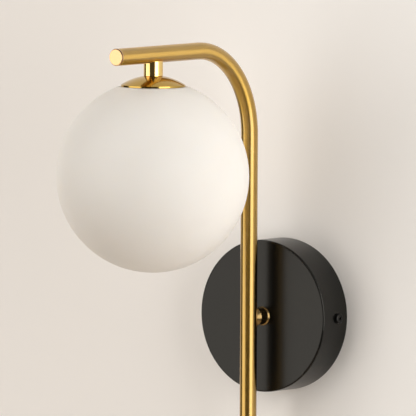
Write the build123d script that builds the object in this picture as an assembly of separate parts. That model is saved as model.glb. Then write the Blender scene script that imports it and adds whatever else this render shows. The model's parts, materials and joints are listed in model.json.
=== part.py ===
from build123d import *
import os
from math import sqrt

# Globe wall sconce: a round black canopy, a bent tube arm on a standoff, and an opal
# glass globe that screws up under a small dome at the end of the arm.
#
# Millimetres, +Z up. The wall is the plane Y = 0 and the sconce stands out towards -Y.
# The origin is on the wall, on the axis of the canopy.

# ---- driving dimensions --------------------------------------------------------------

CANOPY_RADIUS = 60.0
CANOPY_DEPTH = 31.0
CANOPY_WALL = 1.2
CANOPY_EDGE = 1.5

TUBE_RADIUS = 6.7
TUBE_WALL = 1.0
BEND_RADIUS = 69.0
ARM_Y = -49.1
ARM_Z = 212.9
ARM_TIP_Y = -225.2
TUBE_FOOT_Z = -140.0
PLUG_HEAD = 1.6
PLUG_SPIGOT = 7.0
PLUG_CHAMFER = 0.7

BOSS_RADIUS = 7.5
BOSS_CHAMFER = 0.35
SPACER_SADDLE = 1.9
STANDOFF_SADDLE = 1.8
STANDOFF_CONE = 2.4
STANDOFF_LAND = 0.9
STANDOFF_WAIST = 0.9
STANDOFF_FOOT = 0.4

DROP_Y = -176.4
DOME_SEAT_Z = 196.1
DOME_SEAT_RADIUS = 7.6
DOME_RIM_RADIUS = 25.1
DOME_LIP = 1.2
DOME_WALL = 1.0
DOME_GAP = 0.25

GLOBE_RADIUS = 74.8
GLOBE_Z = 118.2
GLASS = 2.6
GLOBE_TOP_Z = 187.9
NECK_LENGTH = 8.4
NECK_BORE = 13.3
NECK_OUTER = 16.0
GASKET = 1.0

# M10 x 1 hollow nipples, the usual lamp thread, with their nuts
NIPPLE_RADIUS = 5.0
NIPPLE_BORE = 3.4
NIPPLE_CLEARANCE = 5.1
NIPPLE_GRIP = 7.5
NUT_FLATS = 14.0
NUT_HEIGHT = 3.0
NIPPLE_PROUD = 2.0
CABLE_HOLE = 3.5
LOCK_WASHER = 0.8
LOCK_WASHER_RADIUS = 9.0
LOCK_WASHER_NOTCH = 0.8
LOCK_WASHER_TEETH = 12

CABLE_RADIUS = 2.2
CABLE_TURN = 7.0
CORE_RADIUS = 0.9
CORE_OFFSET = 1.1
SHEATH_PROUD = 2.5
TAIL_BEND = 3.5
TAIL_OVER_Z = (14.5, 18.5)
TAIL_FOOT_Z = 1.0
HOLDER_TAIL_RUN = 1.3

# ---- sizes that follow from them -----------------------------------------------------

TUBE_BORE = TUBE_RADIUS - TUBE_WALL
TUBE_BACK_Y = ARM_Y + TUBE_RADIUS
TUBE_UNDER_Z = ARM_Z - TUBE_RADIUS
CANOPY_INSIDE_Y = -CANOPY_DEPTH + CANOPY_WALL
CANOPY_BORE = CANOPY_RADIUS - CANOPY_WALL
BOSS_SPAN = 2 * BOSS_RADIUS
DOME_RIM_Z = GLOBE_TOP_Z + DOME_GAP
GASKET_TOP_Z = GLOBE_TOP_Z + GASKET

# ---- wall bracket and what is fastened to it -----------------------------------------

STRAP = 2.0
STRAP_HALF_LENGTH = 58.0
STRAP_HALF_WIDTH = 12.5
STRAP_CLEAR_RADIUS = 58.5
STRAP_BEND = 1.5
TAB_DEPTH = 18.0
WALL_SLOT_X = 40.0
WALL_SLOT_LENGTH = 11.0
WALL_SLOT_WIDTH = 5.0
WIRE_HOLE = 8.0

SIDE_SCREW_Y = -12.4
SIDE_SCREW_HEAD = 4.1
SIDE_SCREW_HEIGHT = 2.3
SIDE_SCREW_SHANK = 2.0
SIDE_SCREW_LENGTH = 9.0
SIDE_SCREW_HOLE = 2.3
HEX_SOCKET = 1.3
HEX_SOCKET_DEPTH = 1.3

EAR_X = -24.0
EAR_HALF_WIDTH = 6.0
EAR_DEPTH = 15.0
EAR_ROOT = 3.0
EARTH_SCREW_Y = -9.0
EARTH_SCREW_HEAD = 3.6
EARTH_SCREW_HEIGHT = 2.4
EARTH_SCREW_LENGTH = 8.0
TAG = 0.6
TAG_EYE = 4.2
NIPPLE_TAG_EYE = 8.0
TONGUE_HALF_WIDTH = 2.0
BARREL_RADIUS = 1.5
BARREL_LENGTH = 6.0
BARREL_SUNK = 0.3
LEAD_BEND = 6.0
LEAD_LOOP = 9.0

BLOCK_X = 20.0
BLOCK_HALF_WIDTH = 9.6
BLOCK_HALF_HEIGHT = 8.5
BLOCK_DEPTH = 9.5
BLOCK_EDGE = 1.5
POLE_PITCH = 8.4
TURRET_RADIUS = 2.9
TURRET_RISE = 3.5
TURRET_OFFSET = 3.8
INSERT_RADIUS = 2.3
INSERT_BORE = 1.5
INSERT_HALF_LENGTH = 7.0
WIRE_Y = -8.0
CLAMP_SCREW_RADIUS = 1.4
CLAMP_SCREW_LENGTH = 4.2
CLAMP_SCREW_SUNK = 1.2
CLAMP_SCREW_SLOT = (0.6, 0.7)
CLAMP_WELL_RADIUS = 1.8
BLOCK_SCREW_RADIUS = 1.5
BLOCK_SCREW_HEAD = 2.5
BLOCK_SCREW_HEIGHT = 1.8
BLOCK_SCREW_HOLE = 1.7

# ---- lampholder and lamp, G9 ---------------------------------------------------------

GALLERY_THREAD = 12.9
GALLERY_THREAD_LENGTH = 7.6
GALLERY_BORE = 11.5
GALLERY_FLANGE = 15.5
GALLERY_FLANGE_HEIGHT = 1.1
GALLERY_ROOF = 1.5
GALLERY_HUB = 7.4

HOLDER_RADIUS = 9.8
HOLDER_FLAT = 9.0
HOLDER_LID = 3.0
HOLDER_BODY = 17.0
HOLDER_SLOT = (6.2, 16.2, 8.0)
HOLDER_CAVITY = (3.2, 4.2)
HOLDER_LEG_WIDTH = 7.0
HOLDER_LEG_OVERLAP = 6.5
HOLDER_PLATE = 1.0
HOLDER_PLATE_RADIUS = 9.0
HOLDER_SHOULDER = 1.5
HOLDER_SCREW_DEPTH = 3.5
HOLDER_SCREW_RADIUS = 1.25
HOLDER_SCREW_LENGTH = 3.4
HOLDER_SCREW_HEAD = 2.4
HOLDER_SCREW_HEIGHT = 1.4
HOLDER_SCREW_HOLE = 1.6
HOLDER_SCREW_RELIEF = 0.2
RIVET_X = 6.2
RIVET_RADIUS = 1.1
RIVET_HEAD = 2.0
RIVET_HEAD_HEIGHT = 0.6
LID_WIRE_HOLE = 1.4

PIN_PITCH = 9.0
PIN_WIRE = 0.35
PIN_LOOP = 0.95
PIN_LENGTH = 6.5
LEAF_GAP = 0.45
LEAF = 0.4
LEAF_WIDTH = 3.4
LEAF_FOOT = 0.3
BRIDGE_DEPTH = 1.5
CONTACT_BARREL = 1.3
CONTACT_BARREL_LENGTH = 1.4

LAMP_GAP = 0.3
LAMP_PINCH = (5.6, 15.6, 7.9)
LAMP_BASE_RADIUS = 8.2
LAMP_BASE = 12.7
LAMP_BASE_CHAMFER = 1.2
LAMP_SPIGOT_RADIUS = 6.9
LAMP_SPIGOT = 4.0
LAMP_CAPSULE = 34.0
LAMP_RADIUS = 8.0
LAMP_SKIN = 1.0
BOARD = (7.0, 1.2, 27.0)
BOARD_IN_SPIGOT = 2.5
CHIP = 2.8
CHIP_HEIGHT = 0.6
CHIP_PITCH = 4.2
CHIP_COUNT = 5
CHIP_START = 2.0

NIPPLE_TAIL = 0.7
BUSH_BORE = 2.5
BUSH_FLANGE = 4.6
BUSH_FLANGE_HEIGHT = 1.0
BUSH_DEPTH = 3.0
CORE_ROOM = 4.5

# ---- heights down the drop, each resting on the one before ---------------------------

GALLERY_ROOF_Z = GASKET_TOP_Z + GALLERY_FLANGE_HEIGHT - GALLERY_ROOF
DROP_NUT_Z = GALLERY_ROOF_Z - HOLDER_PLATE
NIPPLE_END_Z = DROP_NUT_Z - NUT_HEIGHT - NIPPLE_TAIL
SHEATH_END_Z = NIPPLE_END_Z - BUSH_FLANGE_HEIGHT
HOLDER_LID_TOP_Z = SHEATH_END_Z - CORE_ROOM
HOLDER_BODY_TOP_Z = HOLDER_LID_TOP_Z - HOLDER_LID
HOLDER_SCREW_Z = HOLDER_BODY_TOP_Z - HOLDER_SCREW_DEPTH
HOLDER_FOOT_Z = HOLDER_BODY_TOP_Z - HOLDER_BODY
SLOT_TOP_Z = HOLDER_FOOT_Z + HOLDER_SLOT[2]
LAMP_SHOULDER_Z = HOLDER_FOOT_Z - LAMP_GAP
PINCH_TOP_Z = LAMP_SHOULDER_Z + LAMP_PINCH[2]
LAMP_BASE_FOOT_Z = LAMP_SHOULDER_Z - LAMP_BASE
LAMP_TIP_Z = LAMP_BASE_FOOT_Z - LAMP_CAPSULE
BOARD_TOP_Z = LAMP_BASE_FOOT_Z - LAMP_SPIGOT + BOARD_IN_SPIGOT
BRIDGE_Z = HOLDER_BODY_TOP_Z - BRIDGE_DEPTH
PINS_Y = (DROP_Y - PIN_PITCH / 2, DROP_Y + PIN_PITCH / 2)


# Share of a screw head's height that is rounded over
SCREW_CROWN = 0.35


# ---- shared shapes -------------------------------------------------------------------


def rod(start, end, radius):
    """A round bar from one point to another."""
    run = Vector(*end) - Vector(*start)
    foot = (Align.CENTER, Align.CENTER, Align.MIN)
    return Plane(origin=start, z_dir=run) * Cylinder(radius, run.length, align=foot)


def pipe(start, end, radius, bore):
    """A round bar with a round hole along it."""
    return rod(start, end, radius) - rod(start, end, bore)


def block(low, high):
    """A box between its lowest and its highest corner."""
    size = [b - a for a, b in zip(low, high)]
    corner = (Align.MIN, Align.MIN, Align.MIN)
    return Pos(*low) * Box(*size, align=corner)


def across_drop(section, low_z, high_z):
    """A rectangular bar on the drop's axis: its size along X and Y, and its two heights."""
    half_x, half_y = section[0] / 2, section[1] / 2
    return block((-half_x, DROP_Y - half_y, low_z), (half_x, DROP_Y + half_y, high_z))


def hexagon(start, end, flats):
    """A hexagonal bar from one point to another."""
    run = Vector(*end) - Vector(*start)
    face = Plane(origin=start, z_dir=run) * RegularPolygon(flats / 2, 6, major_radius=False)
    return extrude(face, run.length)


def bent_bar(route, radius):
    """A round bar along a route of straight runs and tangent arcs."""
    return sweep(Plane(origin=route @ 0, z_dir=route % 0) * Circle(radius), path=route)


def turned_on_drop(outline):
    """Turn an outline of radii and heights about the axis of the globe."""
    face = Pos(0, DROP_Y, 0) * (Plane.XZ * make_face(outline))
    return revolve(face, Axis((0, DROP_Y, 0), (0, 0, 1)))


def turned_on_canopy(outline):
    """Turn an outline of radii and depths about the axis of the canopy."""
    return revolve(make_face(outline), Axis.Y)


def screw(seat, direction, head, height, shank, length, socket=0):
    """A pan-head screw, its head seated at a point and its shank along a direction."""
    seat = Vector(*seat)
    inward = Vector(*direction)
    crown = seat - inward * height
    cap = rod(seat, crown, head)
    cap = fillet(cap.edges().sort_by(Axis(seat, inward * -1))[-1], SCREW_CROWN * height)
    body = cap + rod(seat, seat + inward * length, shank)
    if socket:
        body -= hexagon(crown, crown + inward * HEX_SOCKET_DEPTH, 2 * socket)
    return body


# ---- canopy and wall bracket ---------------------------------------------------------


def canopy_cover():
    """A pressed cup: flat face, tight front edge, open back against the wall."""
    inside_edge = 0.5
    skin = FilletPolyline(
        (NIPPLE_CLEARANCE, -CANOPY_DEPTH),
        (CANOPY_RADIUS, -CANOPY_DEPTH),
        (CANOPY_RADIUS, 0),
        radius=CANOPY_EDGE,
    )
    lining = FilletPolyline(
        (CANOPY_BORE, 0),
        (CANOPY_BORE, CANOPY_INSIDE_Y),
        (NIPPLE_CLEARANCE, CANOPY_INSIDE_Y),
        radius=inside_edge,
    )
    rim = Line((CANOPY_RADIUS, 0), (CANOPY_BORE, 0))
    hole = Line((NIPPLE_CLEARANCE, CANOPY_INSIDE_Y), (NIPPLE_CLEARANCE, -CANOPY_DEPTH))
    cup = turned_on_canopy(skin + rim + lining + hole)
    across = CANOPY_RADIUS + 1
    return cup - rod((-across, SIDE_SCREW_Y, 0), (across, SIDE_SCREW_Y, 0), SIDE_SCREW_HOLE)


def canopy_side_screws():
    """The two screws through the canopy's side into the bracket's tabs."""
    return [
        screw(
            (side * CANOPY_RADIUS, SIDE_SCREW_Y, 0),
            (-side, 0, 0),
            SIDE_SCREW_HEAD,
            SIDE_SCREW_HEIGHT,
            SIDE_SCREW_SHANK,
            SIDE_SCREW_LENGTH,
            HEX_SOCKET,
        )
        for side in (-1, 1)
    ]


def strap_profile():
    """The bracket's strap seen from above: a flat back with a tab bent up at each end."""
    out, inn = STRAP_HALF_LENGTH, STRAP_HALF_LENGTH - STRAP
    back = FilletPolyline(
        (-out, -TAB_DEPTH), (-out, 0), (out, 0), (out, -TAB_DEPTH), radius=STRAP_BEND + STRAP
    )
    front = FilletPolyline(
        (inn, -TAB_DEPTH), (inn, -STRAP), (-inn, -STRAP), (-inn, -TAB_DEPTH), radius=STRAP_BEND
    )
    ends = Line((out, -TAB_DEPTH), (inn, -TAB_DEPTH)) + Line((-inn, -TAB_DEPTH), (-out, -TAB_DEPTH))
    return make_face(back + ends + front)


def earth_ear():
    """The ear bent up from the strap's top edge, which the earth screw goes into."""
    top, under = STRAP_HALF_WIDTH, STRAP_HALF_WIDTH - STRAP
    root = under - EAR_ROOT
    outer = FilletPolyline((0, root), (0, top), (-EAR_DEPTH, top), radius=STRAP_BEND + STRAP)
    inner = FilletPolyline(
        (-EAR_DEPTH, under), (-STRAP, under), (-STRAP, root), radius=STRAP_BEND
    )
    ends = Line((-EAR_DEPTH, top), (-EAR_DEPTH, under)) + Line((-STRAP, root), (0, root))
    side = make_face(outer + inner + ends)
    return Pos(EAR_X - EAR_HALF_WIDTH, 0, 0) * extrude(Plane.YZ * side, 2 * EAR_HALF_WIDTH)


def wall_bracket():
    """The steel strap that is screwed to the wall and carries the whole lamp."""
    strap = Pos(0, 0, -STRAP_HALF_WIDTH) * extrude(strap_profile(), 2 * STRAP_HALF_WIDTH)
    strap &= rod((0, 1, 0), (0, -TAB_DEPTH - 1, 0), STRAP_CLEAR_RADIUS)
    notch = block((EAR_X - EAR_HALF_WIDTH, -STRAP, STRAP_HALF_WIDTH - STRAP - STRAP_BEND),
                  (EAR_X + EAR_HALF_WIDTH, 0, STRAP_HALF_WIDTH))
    strap = strap - notch + earth_ear()
    slot = extrude(Plane.XZ * SlotOverall(WALL_SLOT_LENGTH, WALL_SLOT_WIDTH), 2 * STRAP, both=True)
    for side in (-1, 1):
        strap -= Pos(side * WALL_SLOT_X, 0, 0) * slot
    strap -= rod((0, 1, 0), (0, -STRAP - 1, 0), WIRE_HOLE)
    strap -= rod((-CANOPY_RADIUS, SIDE_SCREW_Y, 0), (CANOPY_RADIUS, SIDE_SCREW_Y, 0), SIDE_SCREW_SHANK)
    above = STRAP_HALF_WIDTH + 1
    strap -= rod((EAR_X, EARTH_SCREW_Y, 0), (EAR_X, EARTH_SCREW_Y, above), SIDE_SCREW_SHANK)
    strap -= rod((BLOCK_X, 1, 0), (BLOCK_X, -STRAP - 1, 0), BLOCK_SCREW_RADIUS)
    return strap


def bracket_earth_screw():
    seat_z = STRAP_HALF_WIDTH + TAG
    return screw(
        (EAR_X, EARTH_SCREW_Y, seat_z),
        (0, 0, -1),
        EARTH_SCREW_HEAD,
        EARTH_SCREW_HEIGHT,
        SIDE_SCREW_SHANK,
        EARTH_SCREW_LENGTH,
    )


# ---- earth lead ----------------------------------------------------------------------

TAG_LEVEL_Y = CANOPY_INSIDE_Y + LOCK_WASHER
LEAD_Y = TAG_LEVEL_Y + TAG + BARREL_RADIUS - BARREL_SUNK
EAR_LEAD_Z = STRAP_HALF_WIDTH + TAG + BARREL_RADIUS - BARREL_SUNK


def nipple_tag():
    """The ring tag under the canopy's nut, its barrel pointing to -X."""
    eye = pipe((0, TAG_LEVEL_Y, 0), (0, TAG_LEVEL_Y + TAG, 0), NIPPLE_TAG_EYE, NIPPLE_RADIUS)
    near, far = -NIPPLE_TAG_EYE - 1, -NIPPLE_TAG_EYE - BARREL_LENGTH
    tongue = block((far, TAG_LEVEL_Y, -TONGUE_HALF_WIDTH),
                   (near + 2, TAG_LEVEL_Y + TAG, TONGUE_HALF_WIDTH))
    run = (near, LEAD_Y, 0), (far, LEAD_Y, 0)
    return eye + tongue + rod(*run, BARREL_RADIUS) - rod(*run, CORE_RADIUS)


def ear_tag():
    """The ring tag under the earth screw, its barrel pointing to -X."""
    low, high = STRAP_HALF_WIDTH, STRAP_HALF_WIDTH + TAG
    eye = pipe((EAR_X, EARTH_SCREW_Y, low), (EAR_X, EARTH_SCREW_Y, high), TAG_EYE, SIDE_SCREW_SHANK)
    near, far = EAR_X - TAG_EYE - 1, EAR_X - TAG_EYE - BARREL_LENGTH
    tongue = block((far, EARTH_SCREW_Y - TONGUE_HALF_WIDTH, low),
                   (near + 2, EARTH_SCREW_Y + TONGUE_HALF_WIDTH, high))
    run = (near, EARTH_SCREW_Y, EAR_LEAD_Z), (far, EARTH_SCREW_Y, EAR_LEAD_Z)
    return eye + tongue + rod(*run, BARREL_RADIUS) - rod(*run, CORE_RADIUS)


def earth_lead():
    """The earth wire, from the nipple's tag round to the bracket's ear."""
    turn_x = EAR_X - TAG_EYE - BARREL_LENGTH - LEAD_LOOP
    route = FilletPolyline(
        (-NIPPLE_TAG_EYE - 1, LEAD_Y, 0),
        (turn_x, LEAD_Y, 0),
        (turn_x, EARTH_SCREW_Y, EAR_LEAD_Z),
        (EAR_X - TAG_EYE - 1, EARTH_SCREW_Y, EAR_LEAD_Z),
        radius=LEAD_BEND,
    )
    return bent_bar(route, CORE_RADIUS)


# ---- terminal block ------------------------------------------------------------------

POLES_X = (BLOCK_X - POLE_PITCH / 2, BLOCK_X + POLE_PITCH / 2)
BLOCK_FACE_Y = -STRAP - BLOCK_DEPTH
TURRET_FACE_Y = BLOCK_FACE_Y - TURRET_RISE
CLAMP_TOP_Y = TURRET_FACE_Y + CLAMP_SCREW_SUNK


def clamp_places():
    """Where the four wire clamps stand, two on each pole."""
    return [(x, z) for x in POLES_X for z in (-TURRET_OFFSET, TURRET_OFFSET)]


def terminal_block():
    """A two-pole block: wires go in along Z, screws clamp them from the front."""
    body = block(
        (BLOCK_X - BLOCK_HALF_WIDTH, BLOCK_FACE_Y, -BLOCK_HALF_HEIGHT),
        (BLOCK_X + BLOCK_HALF_WIDTH, -STRAP, BLOCK_HALF_HEIGHT),
    )
    body = fillet(body.edges().filter_by(Axis.Z).group_by(Axis.Y)[0], BLOCK_EDGE)
    for x, z in clamp_places():
        body += rod((x, BLOCK_FACE_Y + 1, z), (x, TURRET_FACE_Y, z), TURRET_RADIUS)
    past = BLOCK_HALF_HEIGHT + 1
    for x in POLES_X:
        body -= rod((x, WIRE_Y, -past), (x, WIRE_Y, past), INSERT_RADIUS)
    for x, z in clamp_places():
        body -= rod((x, WIRE_Y, z), (x, TURRET_FACE_Y - 1, z), CLAMP_WELL_RADIUS)
    return body - rod((BLOCK_X, 0, 0), (BLOCK_X, TURRET_FACE_Y, 0), BLOCK_SCREW_HOLE)


def terminal_inserts():
    """The brass tubes inside the block, one for each pole."""
    tubes = []
    for x in POLES_X:
        low, high = (x, WIRE_Y, -INSERT_HALF_LENGTH), (x, WIRE_Y, INSERT_HALF_LENGTH)
        tube = pipe(low, high, INSERT_RADIUS, INSERT_BORE)
        for z in (-TURRET_OFFSET, TURRET_OFFSET):
            tube -= rod((x, WIRE_Y, z), (x, TURRET_FACE_Y, z), CLAMP_SCREW_RADIUS)
        tubes.append(tube)
    return tubes


def terminal_screws():
    """The four clamp screws, a saw slot across each head."""
    foot_y = CLAMP_TOP_Y + CLAMP_SCREW_LENGTH
    width, depth = CLAMP_SCREW_SLOT
    reach = CLAMP_SCREW_RADIUS + 1
    pin = rod((0, CLAMP_TOP_Y, 0), (0, foot_y, 0), CLAMP_SCREW_RADIUS)
    pin -= block((-reach, CLAMP_TOP_Y - 1, -width / 2), (reach, CLAMP_TOP_Y + depth, width / 2))
    return [Pos(x, 0, z) * pin for x, z in clamp_places()]


def terminal_block_screw():
    return screw(
        (BLOCK_X, BLOCK_FACE_Y, 0),
        (0, 1, 0),
        BLOCK_SCREW_HEAD,
        BLOCK_SCREW_HEIGHT,
        BLOCK_SCREW_RADIUS,
        BLOCK_DEPTH + STRAP,
    )


# ---- arm -----------------------------------------------------------------------------


def arm_tube():
    """One tube: up past the canopy, round a quarter bend, and out over the globe."""
    route = FilletPolyline(
        (0, ARM_Y, TUBE_FOOT_Z + PLUG_HEAD),
        (0, ARM_Y, ARM_Z),
        (0, ARM_TIP_Y + PLUG_HEAD, ARM_Z),
        radius=BEND_RADIUS,
    )
    tube = bent_bar(route, TUBE_RADIUS) - bent_bar(route, TUBE_BORE)
    tube -= rod((0, ARM_Y, 0), (0, TUBE_BACK_Y + 1, 0), CABLE_HOLE)
    return tube - rod((0, DROP_Y, ARM_Z), (0, DROP_Y, TUBE_UNDER_Z - 1), CABLE_HOLE)


def end_plug(tip, inward):
    """A turned plug that closes an end of the tube, its head flush with the tube."""
    tip = Vector(*tip)
    inward = Vector(*inward)
    head = rod(tip, tip + inward * PLUG_HEAD, TUBE_RADIUS)
    head = chamfer(head.edges().sort_by(Axis(tip, inward))[0], PLUG_CHAMFER)
    return head + rod(tip, tip + inward * (PLUG_HEAD + PLUG_SPIGOT), TUBE_BORE)


def bored(boss, seat, along):
    """Cut a boss's holes: the nipple's, from the seat, and the cable's, right through."""
    seat, along = Vector(*seat), Vector(*along)
    boss -= rod(seat, seat + along * NIPPLE_GRIP, NIPPLE_RADIUS)
    return boss - rod(seat, seat + along * BOSS_SPAN, CABLE_HOLE)


def arm_standoff():
    """The boss between canopy and upright: a foot, a shallow waist, a head coned to the tube."""
    waist_radius = BOSS_RADIUS - STANDOFF_WAIST
    foot_y = -CANOPY_DEPTH - STANDOFF_FOOT
    saddle_y = TUBE_BACK_Y - STANDOFF_SADDLE
    cone_y = saddle_y + STANDOFF_CONE
    land_y = cone_y + STANDOFF_LAND
    outline = Polyline(
        (0, -CANOPY_DEPTH),
        (BOSS_RADIUS, -CANOPY_DEPTH),
        (BOSS_RADIUS, foot_y),
        (waist_radius, foot_y - STANDOFF_WAIST),
        (waist_radius, land_y + STANDOFF_WAIST),
        (BOSS_RADIUS, land_y),
        (BOSS_RADIUS, cone_y),
        (BOSS_RADIUS - STANDOFF_CONE, saddle_y),
        (0, saddle_y),
        close=True,
    )
    boss = bored(turned_on_canopy(outline), (0, -CANOPY_DEPTH, 0), (0, -1, 0))
    return boss - rod((0, ARM_Y, -BOSS_SPAN), (0, ARM_Y, BOSS_SPAN), TUBE_RADIUS)


def drop_spacer():
    """The round boss between the arm and the dome, its top cut to a saddle for the tube."""
    boss = rod((0, DROP_Y, DOME_SEAT_Z), (0, DROP_Y, TUBE_UNDER_Z + SPACER_SADDLE), BOSS_RADIUS)
    boss = chamfer(boss.edges().filter_by(GeomType.CIRCLE), BOSS_CHAMFER)
    boss = bored(boss, (0, DROP_Y, DOME_SEAT_Z), (0, 0, 1))
    return boss - rod((0, DROP_Y - BOSS_SPAN, ARM_Z), (0, DROP_Y + BOSS_SPAN, ARM_Z), TUBE_RADIUS)


# ---- rear nipple stack, inside the canopy --------------------------------------------

REAR_NUT_Y = TAG_LEVEL_Y + TAG
REAR_NIPPLE_END_Y = REAR_NUT_Y + NUT_HEIGHT + NIPPLE_PROUD


def rear_nipple():
    start = (0, -CANOPY_DEPTH - NIPPLE_GRIP, 0)
    return pipe(start, (0, REAR_NIPPLE_END_Y, 0), NIPPLE_RADIUS, NIPPLE_BORE)


def rear_lock_washer():
    """A washer with teeth bitten into its rim."""
    faces = (0, CANOPY_INSIDE_Y, 0), (0, TAG_LEVEL_Y, 0)
    washer = pipe(*faces, LOCK_WASHER_RADIUS, NIPPLE_RADIUS)
    notch = Pos(LOCK_WASHER_RADIUS, 0, 0) * rod(*faces, LOCK_WASHER_NOTCH)
    for tooth in range(LOCK_WASHER_TEETH):
        washer -= Rot(0, 360 / LOCK_WASHER_TEETH * tooth, 0) * notch
    return washer


def rear_nut():
    start, end = (0, REAR_NUT_Y, 0), (0, REAR_NUT_Y + NUT_HEIGHT, 0)
    return hexagon(start, end, NUT_FLATS) - rod(start, end, NIPPLE_RADIUS)


def cable_bush(mouth, inward):
    """The plastic collar in a nipple's end, which keeps the thread off the cable."""
    mouth, inward = Vector(*mouth), Vector(*inward)
    collar = rod(mouth - inward * BUSH_FLANGE_HEIGHT, mouth, BUSH_FLANGE)
    collar += rod(mouth, mouth + inward * BUSH_DEPTH, NIPPLE_BORE)
    return collar - rod(mouth - inward * 2, mouth + inward * (BUSH_DEPTH + 1), BUSH_BORE)


# ---- dome, gallery and globe ---------------------------------------------------------


def dome_sphere_radius():
    """The radius of the dome's outside, from its seat and its rim."""
    rise = DOME_SEAT_Z - DOME_RIM_Z - DOME_LIP
    span = DOME_RIM_RADIUS**2 - DOME_SEAT_RADIUS**2
    rim_height = (span - rise**2) / (2 * rise)
    return sqrt(rim_height**2 + DOME_RIM_RADIUS**2)


def dome_cap():
    """A spun dome: flat seat under the boss, shallow crown, short upright lip."""
    outside = dome_sphere_radius()
    inside = outside - DOME_WALL
    lip_top = DOME_RIM_Z + DOME_LIP
    centre_z = lip_top - sqrt(outside**2 - DOME_RIM_RADIUS**2)
    rim_inside = DOME_RIM_RADIUS - DOME_WALL
    seat_z = DOME_SEAT_Z - DOME_WALL
    seat_inside = sqrt(inside**2 - (seat_z - centre_z) ** 2)
    inner_rim_z = centre_z + sqrt(inside**2 - rim_inside**2)
    crown = RadiusArc((DOME_SEAT_RADIUS, DOME_SEAT_Z), (DOME_RIM_RADIUS, lip_top), outside)
    lip = Polyline(
        (DOME_RIM_RADIUS, lip_top),
        (DOME_RIM_RADIUS, DOME_RIM_Z),
        (rim_inside, DOME_RIM_Z),
        (rim_inside, inner_rim_z),
    )
    lining = RadiusArc((rim_inside, inner_rim_z), (seat_inside, seat_z), -inside)
    seat = Polyline(
        (seat_inside, seat_z),
        (NIPPLE_CLEARANCE, seat_z),
        (NIPPLE_CLEARANCE, DOME_SEAT_Z),
        (DOME_SEAT_RADIUS, DOME_SEAT_Z),
    )
    return turned_on_drop(crown + lip + lining + seat)


def threaded_gallery():
    """The turned sleeve that the globe's neck screws onto, with a flange over its seal."""
    top = DOME_SEAT_Z - DOME_WALL
    flange_top = GASKET_TOP_Z + GALLERY_FLANGE_HEIGHT
    end_z = GLOBE_TOP_Z - GALLERY_THREAD_LENGTH
    outline = Polyline(
        (NIPPLE_CLEARANCE, top),
        (GALLERY_HUB, top),
        (GALLERY_HUB, flange_top),
        (GALLERY_FLANGE, flange_top),
        (GALLERY_FLANGE, GASKET_TOP_Z),
        (GALLERY_THREAD, GASKET_TOP_Z),
        (GALLERY_THREAD, end_z),
        (GALLERY_BORE, end_z),
        (GALLERY_BORE, GALLERY_ROOF_Z),
        (NIPPLE_CLEARANCE, GALLERY_ROOF_Z),
        close=True,
    )
    return turned_on_drop(outline)


def drop_nipple():
    top = (0, DROP_Y, DOME_SEAT_Z + NIPPLE_GRIP)
    return pipe((0, DROP_Y, NIPPLE_END_Z), top, NIPPLE_RADIUS, NIPPLE_BORE)


def drop_nut():
    start, end = (0, DROP_Y, DROP_NUT_Z - NUT_HEIGHT), (0, DROP_Y, DROP_NUT_Z)
    return hexagon(start, end, NUT_FLATS) - rod(start, end, NIPPLE_RADIUS)


def neck_gasket():
    """The soft ring on the globe's ground top, under the gallery's flange."""
    low, high = (0, DROP_Y, GLOBE_TOP_Z), (0, DROP_Y, GASKET_TOP_Z)
    return pipe(low, high, GALLERY_FLANGE, NECK_BORE)


def globe_shade():
    """The opal globe: a blown sphere, ground flat on top, whose neck turns back inside it."""
    inside = GLOBE_RADIUS - GLASS
    roof_z = GLOBE_TOP_Z - GLASS
    neck_end_z = GLOBE_TOP_Z - NECK_LENGTH
    flat = sqrt(GLOBE_RADIUS**2 - (GLOBE_TOP_Z - GLOBE_Z) ** 2)
    roof = sqrt(inside**2 - (roof_z - GLOBE_Z) ** 2)
    skin = ThreePointArc((0, GLOBE_Z - GLOBE_RADIUS), (GLOBE_RADIUS, GLOBE_Z), (flat, GLOBE_TOP_Z))
    neck = Polyline(
        (flat, GLOBE_TOP_Z),
        (NECK_BORE, GLOBE_TOP_Z),
        (NECK_BORE, neck_end_z),
        (NECK_OUTER, neck_end_z),
        (NECK_OUTER, roof_z),
        (roof, roof_z),
    )
    hollow = ThreePointArc((roof, roof_z), (inside, GLOBE_Z), (0, GLOBE_Z - inside))
    pole = Line((0, GLOBE_Z - inside), (0, GLOBE_Z - GLOBE_RADIUS))
    return turned_on_drop(skin + neck + hollow + pole)


# ---- lampholder ----------------------------------------------------------------------


def holder_blank(low_z, high_z):
    """A ceramic disc with a flat on each side for the bracket's legs."""
    disc = rod((0, DROP_Y, low_z), (0, DROP_Y, high_z), HOLDER_RADIUS)
    reach = HOLDER_RADIUS + 1
    return disc & block((-HOLDER_FLAT, DROP_Y - reach, low_z), (HOLDER_FLAT, DROP_Y + reach, high_z))


def lampholder_bracket():
    """The plate under the gallery's roof, with a leg down each side of the ceramic."""
    half = HOLDER_LEG_WIDTH / 2
    top, under = GALLERY_ROOF_Z, GALLERY_ROOF_Z - HOLDER_PLATE
    outer_x, inner_x = HOLDER_FLAT + HOLDER_PLATE, HOLDER_FLAT
    leg_foot = HOLDER_BODY_TOP_Z - HOLDER_LEG_OVERLAP
    plate = rod((0, DROP_Y, under), (0, DROP_Y, top), HOLDER_PLATE_RADIUS)
    hoop = block((-outer_x, DROP_Y - half, leg_foot), (outer_x, DROP_Y + half, top))
    hoop = fillet(hoop.edges().filter_by(Axis.Y).group_by(Axis.Z)[-1], HOLDER_SHOULDER)
    hoop -= block((-inner_x, DROP_Y - half - 1, leg_foot - 1), (inner_x, DROP_Y + half + 1, under))
    bracket = plate + hoop
    bracket -= rod((0, DROP_Y, under - 1), (0, DROP_Y, top + 1), NIPPLE_CLEARANCE)
    past = outer_x + 1
    holes = rod((-past, DROP_Y, HOLDER_SCREW_Z), (past, DROP_Y, HOLDER_SCREW_Z), HOLDER_SCREW_HOLE)
    return bracket - holes


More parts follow.
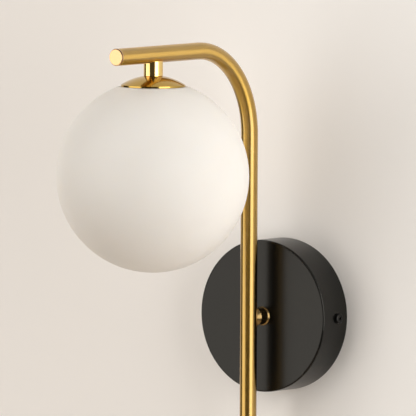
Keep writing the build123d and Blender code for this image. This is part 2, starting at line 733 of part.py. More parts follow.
def lampholder_body():
    """The ceramic: a slot for the lamp's foot, and a cavity for each contact."""
    body = holder_blank(HOLDER_FOOT_Z, HOLDER_BODY_TOP_Z)
    body -= across_drop(HOLDER_SLOT, HOLDER_FOOT_Z - 1, SLOT_TOP_Z)
    for y in PINS_Y:
        half_x, half_y = HOLDER_CAVITY[0] / 2, HOLDER_CAVITY[1] / 2
        body -= block((-half_x, y - half_y, SLOT_TOP_Z - 1), (half_x, y + half_y, HOLDER_BODY_TOP_Z))
    screw_end = HOLDER_FLAT + HOLDER_PLATE - HOLDER_SCREW_LENGTH
    for side in (-1, 1):
        mouth, end = side * (HOLDER_FLAT + 1), side * (screw_end - HOLDER_SCREW_RELIEF)
        hole = (mouth, DROP_Y, HOLDER_SCREW_Z), (end, DROP_Y, HOLDER_SCREW_Z)
        body -= rod(*hole, HOLDER_SCREW_RADIUS)
    return body


def lampholder_lid():
    """The ceramic lid over the contacts, with a hole for each wire and each rivet."""
    lid = holder_blank(HOLDER_BODY_TOP_Z, HOLDER_LID_TOP_Z)
    low, high = HOLDER_BODY_TOP_Z - 1, HOLDER_LID_TOP_Z + 1
    for y in PINS_Y:
        lid -= rod((0, y, low), (0, y, high), LID_WIRE_HOLE)
    for x in (-RIVET_X, RIVET_X):
        lid -= rod((x, DROP_Y, low), (x, DROP_Y, high), RIVET_RADIUS)
    return lid


def lampholder_rivets():
    """The two eyelet rivets that hold the lid down."""
    foot = (0, DROP_Y, HOLDER_BODY_TOP_Z)
    seat = (0, DROP_Y, HOLDER_LID_TOP_Z)
    crown = (0, DROP_Y, HOLDER_LID_TOP_Z + RIVET_HEAD_HEIGHT)
    rivet = rod(foot, seat, RIVET_RADIUS) + rod(seat, crown, RIVET_HEAD)
    return [Pos(x, 0, 0) * rivet for x in (-RIVET_X, RIVET_X)]


def lampholder_contacts():
    """A spring clip for each pin: two leaves and a bridge, with the wire's barrel on top."""
    outer, half = LEAF_GAP + LEAF, LEAF_WIDTH / 2
    clip = block((-outer, -half, SLOT_TOP_Z + LEAF_FOOT), (outer, half, BRIDGE_Z))
    clip -= block((-LEAF_GAP, -half - 1, SLOT_TOP_Z), (LEAF_GAP, half + 1, BRIDGE_Z - LEAF))
    barrel_top = BRIDGE_Z + CONTACT_BARREL_LENGTH
    clip += pipe((0, 0, BRIDGE_Z), (0, 0, barrel_top), CONTACT_BARREL, CORE_RADIUS)
    return [Pos(0, y, 0) * clip for y in PINS_Y]


def lampholder_screws():
    """The two short screws through the bracket's legs into the ceramic."""
    return [
        screw(
            (side * (HOLDER_FLAT + HOLDER_PLATE), DROP_Y, HOLDER_SCREW_Z),
            (-side, 0, 0),
            HOLDER_SCREW_HEAD,
            HOLDER_SCREW_HEIGHT,
            HOLDER_SCREW_RADIUS,
            HOLDER_SCREW_LENGTH,
        )
        for side in (-1, 1)
    ]


# ---- cable, whole route inside the tube ----------------------------------------------

SHEATH_START_Y = REAR_NIPPLE_END_Y + SHEATH_PROUD


def lamp_cable():
    """The sheathed cable: in through the standoff, up, over the bend, and down the drop."""
    route = FilletPolyline(
        (0, SHEATH_START_Y, 0),
        (0, ARM_Y, 0),
        (0, ARM_Y, ARM_Z),
        (0, DROP_Y, ARM_Z),
        (0, DROP_Y, SHEATH_END_Z),
        radius=[CABLE_TURN, BEND_RADIUS, CABLE_TURN],
    )
    return bent_bar(route, CABLE_RADIUS)


def canopy_tail(side, pole_x, over_z):
    """One core from the cable's rear end, over the block, and down into its pole."""
    x = side * CORE_OFFSET
    route = FilletPolyline(
        (x, SHEATH_START_Y, 0),
        (x, WIRE_Y, 0),
        (x, WIRE_Y, over_z),
        (pole_x, WIRE_Y, over_z),
        (pole_x, WIRE_Y, TAIL_FOOT_Z),
        radius=TAIL_BEND,
    )
    return bent_bar(route, CORE_RADIUS)


def holder_tail(side):
    """One core from the cable's lower end, through the lid, to its contact."""
    y, pin_y = DROP_Y + side * CORE_OFFSET, DROP_Y + side * PIN_PITCH / 2
    route = FilletPolyline(
        (0, y, SHEATH_END_Z),
        (0, y, SHEATH_END_Z - HOLDER_TAIL_RUN),
        (0, pin_y, HOLDER_LID_TOP_Z + HOLDER_TAIL_RUN),
        (0, pin_y, BRIDGE_Z),
        radius=HOLDER_TAIL_RUN,
    )
    return bent_bar(route, CORE_RADIUS)


def live_core():
    return [canopy_tail(1, POLES_X[0], TAIL_OVER_Z[0]), holder_tail(1)]


def neutral_core():
    return [canopy_tail(-1, POLES_X[1], TAIL_OVER_Z[1]), holder_tail(-1)]


# ---- lamp ----------------------------------------------------------------------------


def bulb_base():
    """The lamp's moulded foot: a flat pinch that enters the holder, a body and a spigot."""
    body = rod((0, DROP_Y, LAMP_BASE_FOOT_Z), (0, DROP_Y, LAMP_SHOULDER_Z), LAMP_BASE_RADIUS)
    body = chamfer(body.edges().group_by(Axis.Z)[-1], LAMP_BASE_CHAMFER)
    body += across_drop(LAMP_PINCH, LAMP_SHOULDER_Z - LAMP_BASE_CHAMFER, PINCH_TOP_Z)
    spigot_foot = LAMP_BASE_FOOT_Z - LAMP_SPIGOT
    body += rod((0, DROP_Y, spigot_foot), (0, DROP_Y, LAMP_BASE_FOOT_Z), LAMP_SPIGOT_RADIUS)
    return body - across_drop(BOARD, spigot_foot, BOARD_TOP_Z)


def bulb_pins():
    """The two wire loops of the lamp's cap."""
    loops = []
    for y in PINS_Y:
        route = FilletPolyline(
            (0, y - PIN_LOOP, PINCH_TOP_Z),
            (0, y - PIN_LOOP, PINCH_TOP_Z + PIN_LENGTH - PIN_WIRE),
            (0, y + PIN_LOOP, PINCH_TOP_Z + PIN_LENGTH - PIN_WIRE),
            (0, y + PIN_LOOP, PINCH_TOP_Z),
            radius=0.8 * PIN_LOOP,
        )
        loops.append(bent_bar(route, PIN_WIRE))
    return loops


def bulb_envelope():
    """The frosted capsule over the LED board, with a round end."""
    inside = LAMP_RADIUS - LAMP_SKIN
    crown_z = LAMP_TIP_Z + LAMP_RADIUS
    slope = sqrt(0.5)
    outer = Line((LAMP_RADIUS, LAMP_BASE_FOOT_Z), (LAMP_RADIUS, crown_z)) + ThreePointArc(
        (LAMP_RADIUS, crown_z), (LAMP_RADIUS * slope, crown_z - LAMP_RADIUS * slope), (0, LAMP_TIP_Z)
    )
    inner = ThreePointArc(
        (0, LAMP_TIP_Z + LAMP_SKIN), (inside * slope, crown_z - inside * slope), (inside, crown_z)
    ) + Line((inside, crown_z), (inside, LAMP_BASE_FOOT_Z))
    pole = Line((0, LAMP_TIP_Z), (0, LAMP_TIP_Z + LAMP_SKIN))
    rim = Line((inside, LAMP_BASE_FOOT_Z), (LAMP_RADIUS, LAMP_BASE_FOOT_Z))
    return turned_on_drop(outer + pole + inner + rim)


def bulb_led_board():
    """The board, with a column of LED chips on each face."""
    foot_z = BOARD_TOP_Z - BOARD[2]
    board = across_drop(BOARD, foot_z, BOARD_TOP_Z)
    for row in range(CHIP_COUNT):
        z = foot_z + CHIP_START + row * CHIP_PITCH
        board += across_drop((CHIP, BOARD[1] + 2 * CHIP_HEIGHT), z, z + CHIP)
    return board


# ---- all the pieces, one file each ---------------------------------------------------


def main():
    pieces = {
        "wall_bracket": wall_bracket(),
        "bracket_earth_screw": bracket_earth_screw(),
        "canopy_cover": canopy_cover(),
        "canopy_side_screws": canopy_side_screws(),
        "arm_standoff": arm_standoff(),
        "rear_nipple": rear_nipple(),
        "rear_lock_washer": rear_lock_washer(),
        "rear_nut": rear_nut(),
        "rear_cable_bush": cable_bush((0, REAR_NIPPLE_END_Y, 0), (0, -1, 0)),
        "earth_tags": [nipple_tag(), ear_tag()],
        "earth_lead": earth_lead(),
        "terminal_block": terminal_block(),
        "terminal_inserts": terminal_inserts(),
        "terminal_screws": terminal_screws(),
        "terminal_block_screw": terminal_block_screw(),
        "arm_tube": arm_tube(),
        "arm_end_plug": end_plug((0, ARM_TIP_Y, ARM_Z), (0, 1, 0)),
        "lower_end_plug": end_plug((0, ARM_Y, TUBE_FOOT_Z), (0, 0, 1)),
        "drop_spacer": drop_spacer(),
        "drop_nipple": drop_nipple(),
        "drop_nut": drop_nut(),
        "drop_cable_bush": cable_bush((0, DROP_Y, NIPPLE_END_Z), (0, 0, 1)),
        "dome_cap": dome_cap(),
        "threaded_gallery": threaded_gallery(),
        "neck_gasket": neck_gasket(),
        "globe_shade": globe_shade(),
        "lampholder_bracket": lampholder_bracket(),
        "lampholder_body": lampholder_body(),
        "lampholder_lid": lampholder_lid(),
        "lampholder_rivets": lampholder_rivets(),
        "lampholder_contacts": lampholder_contacts(),
        "lampholder_screws": lampholder_screws(),
        "lamp_cable": lamp_cable(),
        "live_core": live_core(),
        "neutral_core": neutral_core(),
        "bulb_base": bulb_base(),
        "bulb_pins": bulb_pins(),
        "bulb_envelope": bulb_envelope(),
        "bulb_led_board": bulb_led_board(),
    }
    os.makedirs("parts", exist_ok=True)
    for name, shape in pieces.items():
        solids = shape if isinstance(shape, list) else [shape]
        export_step(Compound(children=solids), f"parts/{name}.step")


main()
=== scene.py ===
import json
from math import cos, pi, radians, sin, tan

import bmesh
import bpy
from mathutils import Matrix, Vector


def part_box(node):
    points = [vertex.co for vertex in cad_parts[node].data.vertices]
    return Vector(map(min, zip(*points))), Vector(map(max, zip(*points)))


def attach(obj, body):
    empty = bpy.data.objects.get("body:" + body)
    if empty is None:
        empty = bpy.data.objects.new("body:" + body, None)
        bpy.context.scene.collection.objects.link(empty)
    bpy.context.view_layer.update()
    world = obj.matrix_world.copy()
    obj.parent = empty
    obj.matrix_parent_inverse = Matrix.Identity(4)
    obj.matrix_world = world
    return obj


# Globe wall sconce. Metres, the wall is the plane Y = 0 and the lamp stands out towards -Y.

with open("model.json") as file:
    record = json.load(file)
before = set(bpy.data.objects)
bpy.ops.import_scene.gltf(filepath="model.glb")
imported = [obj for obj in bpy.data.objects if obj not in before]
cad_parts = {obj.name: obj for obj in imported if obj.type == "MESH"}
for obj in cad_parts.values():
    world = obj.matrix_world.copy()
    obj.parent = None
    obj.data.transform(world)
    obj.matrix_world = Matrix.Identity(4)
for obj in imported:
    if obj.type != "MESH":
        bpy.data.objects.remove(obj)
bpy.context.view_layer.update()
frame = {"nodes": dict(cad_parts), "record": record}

MM = 0.001
SCENE = bpy.context.scene
NODES = frame["nodes"]

# ---- where things are, from the frame ------------------------------------------------

globe_low, globe_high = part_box("globe_shade")
tube_low, tube_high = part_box("arm_tube")
canopy_low, canopy_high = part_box("canopy_cover")
gallery_low, gallery_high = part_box("threaded_gallery")
nut_low, nut_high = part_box("rear_nut")
nipple_low, nipple_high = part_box("rear_nipple")

DROP_Y = ((globe_low + globe_high) / 2).y
CANOPY_RADIUS = (canopy_high.x - canopy_low.x) / 2

# The tube's bend is a quarter circle round the line Y = BEND_Y, Z = BEND_Z.
TUBE_RADIUS = (tube_high.x - tube_low.x) / 2
BEND_RADIUS = 69 * MM
BEND_Y = tube_high.y - TUBE_RADIUS - BEND_RADIUS
BEND_Z = tube_high.z - TUBE_RADIUS - BEND_RADIUS

# ---- camera --------------------------------------------------------------------------

CAMERA_AZIMUTH = radians(36.281)
CAMERA_ELEVATION = radians(4.302)
CAMERA_ROLL = radians(0.306)
CAMERA_PLACE = Vector((5.194965, -7.180756, 0.749765))
SENSOR_MM = 36.0
LENS_MM = 975.235


def add_camera():
    """A long lens far off: the photograph is nearly a parallel view."""
    level = cos(CAMERA_ELEVATION)
    back = Vector((
        sin(CAMERA_AZIMUTH) * level,
        -cos(CAMERA_AZIMUTH) * level,
        sin(CAMERA_ELEVATION),
    ))
    right = Vector((0, 0, 1)).cross(back).normalized()
    up = back.cross(right)
    turned_right = right * cos(CAMERA_ROLL) + up * sin(CAMERA_ROLL)
    turned_up = up * cos(CAMERA_ROLL) - right * sin(CAMERA_ROLL)
    data = bpy.data.cameras.new("camera")
    data.sensor_width = SENSOR_MM
    data.lens = LENS_MM
    data.clip_start = 0.1
    data.clip_end = 100
    camera = bpy.data.objects.new("camera", data)
    turn = Matrix((turned_right, turned_up, back)).transposed()
    camera.matrix_world = Matrix.Translation(CAMERA_PLACE) @ turn.to_4x4()
    SCENE.collection.objects.link(camera)
    SCENE.camera = camera


# ---- material helpers ----------------------------------------------------------------


class Shader:
    """A material and short ways to add nodes to it."""

    def __init__(self, name):
        self.material = bpy.data.materials.new(name)
        self.material.use_nodes = True
        self.tree = self.material.node_tree
        self.surface = self.tree.nodes["Principled BSDF"]
        self.output = self.tree.nodes["Material Output"]

    def set(self, **values):
        """Set sockets of the Principled shader: words_with_underscores name the socket."""
        for name, value in values.items():
            socket = name.replace("_", " ").title().replace("Ior", "IOR")
            self.surface.inputs[socket].default_value = value
        return self

    def node(self, kind, inputs=None, **settings):
        made = self.tree.nodes.new(kind)
        for name, value in settings.items():
            setattr(made, name, value)
        for key, value in (inputs or {}).items():
            if isinstance(value, bpy.types.NodeSocket):
                self.tree.links.new(value, made.inputs[key])
            else:
                made.inputs[key].default_value = value
        return made

    def math(self, operation, *values):
        return self.node("ShaderNodeMath", dict(enumerate(values)), operation=operation).outputs[0]

    def place(self):
        """The point in the row's frame, in metres."""
        return self.node("ShaderNodeTexCoord").outputs["Object"]

    def stretched(self, vector, scale):
        mapped = self.node("ShaderNodeMapping", {"Vector": vector, "Scale": scale})
        return mapped.outputs["Vector"]

    def noise(self, vector, scale, detail=2.0, roughness=0.5):
        inputs = {"Vector": vector, "Scale": scale, "Detail": detail, "Roughness": roughness}
        return self.node("ShaderNodeTexNoise", inputs).outputs["Fac"]

    def spread(self, value, low, high, from_low=0.3, from_high=0.7):
        """Map a texture's value to a range."""
        inputs = {0: value, 1: from_low, 2: from_high, 3: low, 4: high}
        return self.node("ShaderNodeMapRange", inputs).outputs[0]

    def mix(self, factor, low, high):
        inputs = {"Factor": factor, "A": (*low, 1.0), "B": (*high, 1.0)}
        made = self.node("ShaderNodeMix", data_type="RGBA")
        for name, value in inputs.items():
            sockets = [s for s in made.inputs if s.name == name and s.enabled]
            if isinstance(value, bpy.types.NodeSocket):
                self.tree.links.new(value, sockets[0])
            else:
                sockets[0].default_value = value
        return [s for s in made.outputs if s.enabled][0]

    def colour(self, socket):
        self.tree.links.new(socket, self.surface.inputs["Base Color"])

    def roughness(self, socket):
        self.tree.links.new(socket, self.surface.inputs["Roughness"])

    def bump(self, height, depth, strength=1.0):
        """Raise the surface by height times depth, in metres."""
        inputs = {"Height": height, "Distance": depth, "Strength": strength}
        normal = self.node("ShaderNodeBump", inputs).outputs["Normal"]
        self.tree.links.new(normal, self.surface.inputs["Normal"])


# ---- metals --------------------------------------------------------------------------

GOLD = (0.60, 0.372, 0.08)
GOLD_DEEP = (0.55, 0.337, 0.065)


def tube_route(shader):
    """Where a point is on the tube: two numbers across its section and one along its run."""
    split = shader.node("ShaderNodeSeparateXYZ", {"Vector": shader.place()})
    x, y, z = split.outputs
    from_bend_y = shader.math("SUBTRACT", y, BEND_Y)
    from_bend_z = shader.math("SUBTRACT", z, BEND_Z)
    ahead_y = shader.math("MAXIMUM", from_bend_y, 0.0)
    ahead_z = shader.math("MAXIMUM", from_bend_z, 0.0)
    squares = shader.math("ADD", shader.math("POWER", ahead_y, 2.0), shader.math("POWER", ahead_z, 2.0))
    out = shader.math("SUBTRACT", shader.math("SQRT", squares), BEND_RADIUS)
    turn = shader.math("MULTIPLY", shader.math("ARCTAN2", ahead_z, ahead_y), BEND_RADIUS)
    upright = shader.math("MINIMUM", from_bend_z, 0.0)
    arm = shader.math("MINIMUM", from_bend_y, 0.0)
    along = shader.math("SUBTRACT", shader.math("ADD", upright, turn), arm)
    route = shader.node("ShaderNodeCombineXYZ", {0: x, 1: out, 2: along}).outputs[0]
    back_z = shader.math("MULTIPLY", ahead_z, -1.0)
    ahead_y = shader.math("MAXIMUM", ahead_y, BEND_RADIUS * 0.001)
    run = shader.node("ShaderNodeCombineXYZ", {0: 0.0, 1: back_z, 2: ahead_y}).outputs[0]
    return route, run


def satin_gold():
    """Lacquered gold on a tube that was ground as it turned: hairlines run round it, so a
    light spreads along the tube and stays narrow across it."""
    shader = Shader("satin_gold").set(metallic=1.0, anisotropic=1.0, coat_weight=0.8, coat_roughness=0.12)
    route, run = tube_route(shader)
    hairline = shader.noise(shader.stretched(route, (90, 90, 9000)), 1.0, detail=3)
    tone = shader.noise(shader.stretched(route, (60, 60, 25)), 1.0)
    shader.colour(shader.mix(shader.spread(tone, 0, 1), GOLD_DEEP, GOLD))
    shader.roughness(shader.spread(hairline, 0.34, 0.40))
    shader.bump(hairline, 0.002 * MM)
    shader.tree.links.new(run, shader.surface.inputs["Tangent"])
    return shader.material


def fine_metal(name, dark, light, low, high, grain, depth=0.0, **more):
    """A metal with a fine grain in its tone, between dark and light, and in its gloss, between
    the roughnesses low and high. more sets the shader's other sockets."""
    shader = Shader(name).set(metallic=1.0, **more)
    fine = shader.noise(shader.place(), grain, detail=4, roughness=0.6)
    shader.colour(shader.mix(shader.spread(fine, 0, 1), dark, light))
    shader.roughness(shader.spread(fine, low, high))
    if depth:
        shader.bump(fine, depth)
    return shader.material


def polished_gold(name, dark, light, low, high):
    """Bright gold, with only a trace of wipe marks in its gloss."""
    return fine_metal(name, dark, light, low, high, 260.0)


def turned_gold():
    """Gold turned on a lathe: rings too fine to see give it a soft gloss."""
    return fine_metal(
        "turned_gold", (0.70, 0.415, 0.18), (0.73, 0.445, 0.20), 0.22, 0.25, 900.0,
        coat_weight=1.0, coat_roughness=0.2,
    )


def zinc_steel():
    """Zinc plating: pale crystals of slightly different tone and gloss."""
    shader = Shader("zinc_steel").set(metallic=1.0)
    crystal = shader.node("ShaderNodeTexVoronoi", {"Vector": shader.place(), "Scale": 900.0})
    tone = shader.node("ShaderNodeSeparateColor", {"Color": crystal.outputs["Color"]}).outputs[0]
    shader.colour(shader.mix(tone, (0.55, 0.56, 0.57), (0.65, 0.65, 0.64)))
    shader.roughness(shader.spread(tone, 0.30, 0.46, 0.0, 1.0))
    shader.bump(shader.noise(shader.place(), 2500.0), 0.003 * MM)
    return shader.material


# ---- paint, glass, plastics ----------------------------------------------------------


def satin_black():
    """Fine powder coat: a low orange peel and a soft sheen."""
    shader = Shader("satin_black_paint").set(specular_ior_level=0.29, specular_tint=(1.0, 0.96, 0.88, 1.0))
    peel = shader.noise(shader.place(), 1400.0, detail=3)
    cloud = shader.noise(shader.place(), 30.0)
    shader.colour(shader.mix(shader.spread(cloud, 0, 1), (0.003, 0.003, 0.003), (0.005, 0.005, 0.004)))
    shader.roughness(shader.spread(peel, 0.22, 0.27))
    shader.bump(peel, 0.006 * MM)
    return shader.material


def opal_glass():
    """Satin opal glass: light sinks a little way in, and the skin is finely etched."""
    shader = Shader("opal_glass").set(
        subsurface_weight=0.25,
        subsurface_radius=(6 * MM, 5 * MM, 4 * MM),
        subsurface_scale=1.0,
        specular_ior_level=0.35,
    )
    cloud = shader.noise(shader.place(), 22.0)
    etch = shader.noise(shader.place(), 5200.0, detail=2)
    shader.colour(shader.mix(shader.spread(cloud, 0, 1), (0.825, 0.785, 0.735), (0.85, 0.81, 0.76)))
    shader.roughness(shader.spread(etch, 0.50, 0.60))
    shader.bump(etch, 0.004 * MM)
    return shader.material


def matte(name, dark, light, low=0.45, high=0.6, grain=900.0, depth=0.006):
    """A moulded or fired surface: faint mottling, fine grain."""
    shader = Shader(name)
    mottle = shader.noise(shader.place(), grain / 12)
    fine = shader.noise(shader.place(), grain, detail=3)
    shader.colour(shader.mix(shader.spread(mottle, 0, 1), dark, light))
    shader.roughness(shader.spread(fine, low, high))
    shader.bump(fine, depth * MM)
    return shader.material


def earth_wire():
    """Green and yellow insulation, in stripes along the wire."""
    shader = Shader("earth_core")
    split = shader.node("ShaderNodeSeparateXYZ", {"Vector": shader.place()})
    across = shader.math("ADD", split.outputs[1], split.outputs[2])
    stripe = shader.math("GREATER_THAN", shader.math("SINE", shader.math("MULTIPLY", across, 2600.0)), 0.0)
    shader.colour(shader.mix(stripe, (0.03, 0.22, 0.04), (0.62, 0.52, 0.02)))
    shader.roughness(shader.spread(shader.noise(shader.place(), 1500.0), 0.38, 0.5))
    return shader.material


def led_board():
    """A white board whose chips stand out from it, yellow with phosphor."""
    shader = Shader("led_board")
    split = shader.node("ShaderNodeSeparateXYZ", {"Vector": shader.place()})
    off_centre = shader.math("ABSOLUTE", shader.math("SUBTRACT", split.outputs[1], DROP_Y))
    chip = shader.math("GREATER_THAN", off_centre, 0.9 * MM)
    shader.colour(shader.mix(chip, (0.80, 0.80, 0.78), (0.78, 0.58, 0.10)))
    shader.roughness(shader.spread(shader.noise(shader.place(), 2000.0), 0.3, 0.42))
    return shader.material


def make_materials():
    return {
        "satin_gold": satin_gold(),
        "polished_gold": polished_gold(
            "polished_gold", (0.89, 0.62, 0.23), (0.93, 0.67, 0.26), 0.10, 0.15
        ),
        # Painted shade: a darker gold for the dome cap, standing in for the shaded spacer and arm it
        # reflects.
        "dome_gold_painted_shade": polished_gold(
            "dome_gold_painted_shade", (0.50, 0.325, 0.075), (0.53, 0.35, 0.09), 0.12, 0.17
        ),
        # Painted shade: gold darkened to bronze for the standoff, standing in for the black canopy and
        # shade it reflects.
        "standoff_gold_painted_shade": polished_gold(
            "standoff_gold_painted_shade", (0.36, 0.24, 0.10), (0.39, 0.265, 0.115), 0.20, 0.26
        ),
        "turned_gold": turned_gold(),
        "satin_black_paint": satin_black(),
        "black_screw": fine_metal(
            "black_screw", (0.03, 0.03, 0.03), (0.045, 0.044, 0.042), 0.32, 0.42, 1800.0
        ),
        "zinc_steel": zinc_steel(),
        "plated_steel": fine_metal(
            "plated_steel", (0.50, 0.49, 0.47), (0.60, 0.59, 0.56), 0.24, 0.34, 1500.0
        ),
        "turned_brass": fine_metal(
            "turned_brass", (0.64, 0.47, 0.22), (0.71, 0.53, 0.26), 0.2, 0.26, 2600.0
        ),
        "tinned_tag": fine_metal(
            "tinned_tag", (0.62, 0.62, 0.61), (0.74, 0.74, 0.72), 0.22, 0.34, 2200.0, 0.004 * MM
        ),
        "opal_glass": opal_glass(),
        "silicone": matte("silicone", (0.66, 0.66, 0.64), (0.74, 0.74, 0.71)),
        "ceramic": matte("ceramic", (0.72, 0.70, 0.65), (0.79, 0.77, 0.72), 0.32, 0.45),
        "white_plastic": matte("white_plastic", (0.72, 0.72, 0.70), (0.78, 0.78, 0.76), 0.38, 0.5),
        "black_plastic": matte("black_plastic", (0.02, 0.02, 0.02), (0.03, 0.03, 0.03)),
        "cable_sheath": matte("cable_sheath", (0.55, 0.54, 0.52), (0.63, 0.62, 0.60)),
        "brown_core": matte("brown_core", (0.12, 0.045, 0.018), (0.15, 0.06, 0.025), 0.35, 0.45),
        "blue_core": matte("blue_core", (0.015, 0.09, 0.36), (0.02, 0.12, 0.45), 0.35, 0.45),
        "earth_core": earth_wire(),
        "lamp_capsule": matte("lamp_capsule", (0.80, 0.79, 0.75), (0.86, 0.85, 0.81), 0.22, 0.32),
        "led_board": led_board(),
    }


# Nodes that get another material than their slot's: the end plugs a turned finish, and the dome cap and
# standoff darker golds, painted shade standing in for the dark things they reflect.
OWN_FINISH_AND_PAINTED_SHADE = {
    "arm_end_plug": "turned_gold",
    "lower_end_plug": "turned_gold",
    "dome_cap": "dome_gold_painted_shade",
    "arm_standoff": "standoff_gold_painted_shade",
}


def dress_nodes(materials):
    """Give every CAD node the material of its slot in the record, its own finish, or a gold darkened with
    painted shade.
    """
    for part in frame["record"]["subparts"]:
        node = part["node"]
        mesh = NODES[node].data
        mesh.materials.clear()
        mesh.materials.append(materials[OWN_FINISH_AND_PAINTED_SHADE.get(node, part["material_slot"])])


# ---- screw threads -------------------------------------------------------------------

SLEEVE_RADIUS = 12.9 * MM  # the gallery's sleeve
NECK_BORE = 13.3 * MM  # the radius inside the globe's neck
NECK_PITCH = 3.0 * MM
NIPPLE_PITCH = 1.0 * MM
THREAD_STEPS = 60  # to a turn
THREAD_FADE = 0.15  # of a turn, at each end
FOOT_SUNK = 0.05 * MM  # how far a ridge's foot lies inside the solid


def add_thread(name, body, material, lift, radii, heights, pitch, half_width, lag=0.0):
    """A right-handed ridge that winds up an axis and fades out at both ends. lift gives the
    point for a radius, an angle and a height; radii are those of its foot and its crest, and
    lag turns it by a part of a turn."""
    foot, crest = radii
    low, high = heights
    turns = (high - low) / pitch
    count = round(turns * THREAD_STEPS)
    shape = bmesh.new()
    rows = []
    for step in range(count + 1):
        turn = turns * step / count
        full = min(1.0, turn / THREAD_FADE, (turns - turn) / THREAD_FADE)
        top = foot + (crest - foot) * max(full, 0.05)
        angle, height = 2 * pi * (turn + low / pitch + lag), low + turn * pitch
        corners = ((foot, -half_width), (top, -half_width / 3), (top, half_width / 3), (foot, half_width))
        rows.append([shape.verts.new(lift(radius, angle, height + off)) for radius, off in corners])
    for before, after in zip(rows, rows[1:]):
        for side in range(4):
            other = (side + 1) % 4
            shape.faces.new((before[side], before[other], after[other], after[side]))
    shape.faces.new(rows[0])
    shape.faces.new(rows[-1])
    bmesh.ops.recalc_face_normals(shape, faces=shape.faces)
    mesh = bpy.data.meshes.new(name)
    shape.to_mesh(mesh)
    shape.free()
    mesh.materials.append(material)
    piece = bpy.data.objects.new(name, mesh)
    SCENE.collection.objects.link(piece)
    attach(piece, body)


def on_drop(radius, angle, height):
    """Round the globe's axis."""
    return (radius * cos(angle), DROP_Y + radius * sin(angle), height)


def on_wall_axis(radius, angle, height):
    """Round the canopy's axis."""
    return (radius * sin(angle), height, radius * cos(angle))


def add_threads(materials):
    """The threads that the solids leave plain: the globe's two, half a pitch apart, and the
    end of the nipple behind the canopy."""
    top = globe_high.z
    add_thread(
        "gallery_thread", "fixture", materials["turned_brass"], on_drop,
        (SLEEVE_RADIUS - FOOT_SUNK, SLEEVE_RADIUS + 0.3 * MM),
        (gallery_low.z + 0.8 * MM, top - 0.8 * MM), NECK_PITCH, 0.55 * MM,
    )
    add_thread(
        "neck_thread", "globe", materials["opal_glass"], on_drop,
        (NECK_BORE + FOOT_SUNK, NECK_BORE - 0.28 * MM),
        (top - 7.4 * MM, top - 0.8 * MM), NECK_PITCH, 0.6 * MM, 0.5,
    )
    nipple_radius = (nipple_high.x - nipple_low.x) / 2
    add_thread(
        "rear_nipple_thread", "fixture", materials["plated_steel"], on_wall_axis,
        (nipple_radius - FOOT_SUNK, nipple_radius + 0.3 * MM),
        (nut_high.y + 0.5 * MM, nipple_high.y - 0.35 * MM), NIPPLE_PITCH, 0.35 * MM,
    )


# ---- stage and light -----------------------------------------------------------------

WALL_COLOUR = (0.905, 0.87, 0.835)
# Painted light: the wall turns to this paler colour towards +X, standing in for the lamps' light falling
# off across it.
WALL_PAINTED_LIGHT = (0.97, 0.955, 0.935)
FLOOR_COLOUR = (0.60, 0.50, 0.39)
FLOOR_DROP = 1.3
FLOOR_HALF = 1.8
WALL_HALF = 3.0
WALL_HOLE_STEPS = 64
PAINTED_LIGHT_FROM, PAINTED_LIGHT_TO = -0.2, 0.2  # in X


def one_sided(name, colour, painted_light):
    """A matte surface with painted light: its colour grows paler towards +X, standing in for the lamps'
    light falling off across it. It is seen and lit from its front only, so views from behind pass."""
    shader = Shader(name)
    shader.set(roughness=0.9, specular_ior_level=0.1)
    grain = shader.noise(shader.place(), 700.0, detail=3)
    across = shader.node("ShaderNodeSeparateXYZ", {"Vector": shader.place()}).outputs[0]
    # Painted light: the colour grows paler towards +X.
    shader.colour(shader.mix(shader.spread(across, 0, 1, PAINTED_LIGHT_FROM, PAINTED_LIGHT_TO), colour, painted_light))
    shader.bump(grain, 0.03 * MM)
    clear = shader.node("ShaderNodeBsdfTransparent")
    behind = shader.node("ShaderNodeNewGeometry").outputs["Backfacing"]
    shown = shader.node("ShaderNodeMixShader")
    shader.tree.links.new(behind, shown.inputs[0])
    shader.tree.links.new(shader.surface.outputs[0], shown.inputs[1])
    shader.tree.links.new(clear.outputs[0], shown.inputs[2])
    shader.tree.links.new(shown.outputs[0], shader.output.inputs["Surface"])
    return shader.material


def add_stage():
    """A pale wall with an opening behind the canopy for the wires, and a floor far below."""
    opening, steps = CANOPY_RADIUS - 2 * MM, WALL_HOLE_STEPS
    wall = bmesh.new()
    rim, edge = [], []
    for step in range(steps):
        angle = 2 * pi * step / steps
        x, z = cos(angle), sin(angle)
        reach = WALL_HALF / max(abs(x), abs(z))
        rim.append(wall.verts.new((opening * x, 0, opening * z)))
        edge.append(wall.verts.new((reach * x, 0, reach * z)))
    for step in range(steps):
        after = (step + 1) % steps
        wall.faces.new((rim[step], edge[step], edge[after], rim[after]))
    floor = bmesh.new()
    half = FLOOR_HALF
    corners = ((-half, -half), (half, -half), (half, 0), (-half, 0))
    floor.faces.new([floor.verts.new((x, y, -FLOOR_DROP)) for x, y in corners])
    for name, shape, colour, painted_light in (
        ("wall", wall, WALL_COLOUR, WALL_PAINTED_LIGHT),
        ("floor", floor, FLOOR_COLOUR, FLOOR_COLOUR),
    ):
        mesh = bpy.data.meshes.new(name)
        shape.to_mesh(mesh)
        shape.free()
        mesh.materials.append(one_sided(name + "_paint", colour, painted_light))
        made = bpy.data.objects.new(name, mesh)
        SCENE.collection.objects.link(made)


AIM = Vector((0.0, -0.12, 0.10))
WARMER_TINT = (1.0, 0.97, 0.93)
COOLER_TINT = (1.0, 0.99, 0.975)

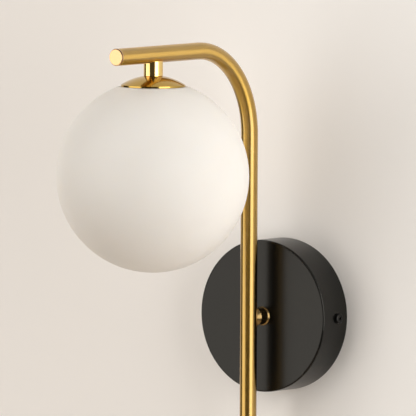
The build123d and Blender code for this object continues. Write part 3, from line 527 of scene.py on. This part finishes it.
# Name, azimuth and elevation in degrees, distance, half angles in degrees, radiance, tint. The
# last lights only what shows from behind, through the wall's opening.
SOFTBOXES = (
    ("right_box", 76, 3, 1.4, (20, 24), 4.0, COOLER_TINT),
    ("high_box", 78, 50, 1.8, (18, 14), 1.0, COOLER_TINT),
    ("left_box", -33, 17, 2.3, (27, 46), 1.92, WARMER_TINT),
    ("behind_box", 205, 20, 1.6, (24, 20), 2.4, COOLER_TINT),
)


def add_softbox(name, azimuth, elevation, distance, half_angles, radiance, tint):
    """A softbox that faces the lamp. Azimuth runs from -Y towards +X, and the half angles
    are those under which the lamp sees the box's width and height."""
    turn, rise = radians(azimuth), radians(elevation)
    away = Vector((sin(turn) * cos(rise), -cos(turn) * cos(rise), sin(rise)))
    data = bpy.data.lights.new(name, "AREA")
    data.shape = "RECTANGLE"
    data.size, data.size_y = [2 * distance * tan(radians(half)) for half in half_angles]
    data.energy = radiance * pi * data.size * data.size_y
    data.color = tint
    box = bpy.data.objects.new(name, data)
    box.location = AIM + away * distance
    box.rotation_mode = "QUATERNION"
    box.rotation_quaternion = away.to_track_quat("Z", "Y")
    box.visible_camera = False
    SCENE.collection.objects.link(box)


WORLD_LIGHT = (0.062, 0.055, 0.046)
WORLD_SEEN = (0.80, 0.76, 0.71)


def add_world():
    """Even light from all round; the camera sees a pale background."""
    world = bpy.data.worlds.new("studio")
    SCENE.world = world
    world.use_nodes = True
    tree = world.node_tree
    background = tree.nodes["Background"]
    background.inputs["Color"].default_value = (*WORLD_LIGHT, 1)
    seen = tree.nodes.new("ShaderNodeBackground")
    seen.inputs["Color"].default_value = (*WORLD_SEEN, 1)
    ray = tree.nodes.new("ShaderNodeLightPath")
    mixed = tree.nodes.new("ShaderNodeMixShader")
    tree.links.new(ray.outputs["Is Camera Ray"], mixed.inputs[0])
    tree.links.new(background.outputs[0], mixed.inputs[1])
    tree.links.new(seen.outputs[0], mixed.inputs[2])
    tree.links.new(mixed.outputs[0], tree.nodes["World Output"].inputs["Surface"])


SCENE.view_settings.view_transform = "Standard"

add_camera()
finishes = make_materials()
dress_nodes(finishes)
add_threads(finishes)
add_stage()
add_world()
for softbox in SOFTBOXES:
    add_softbox(*softbox)
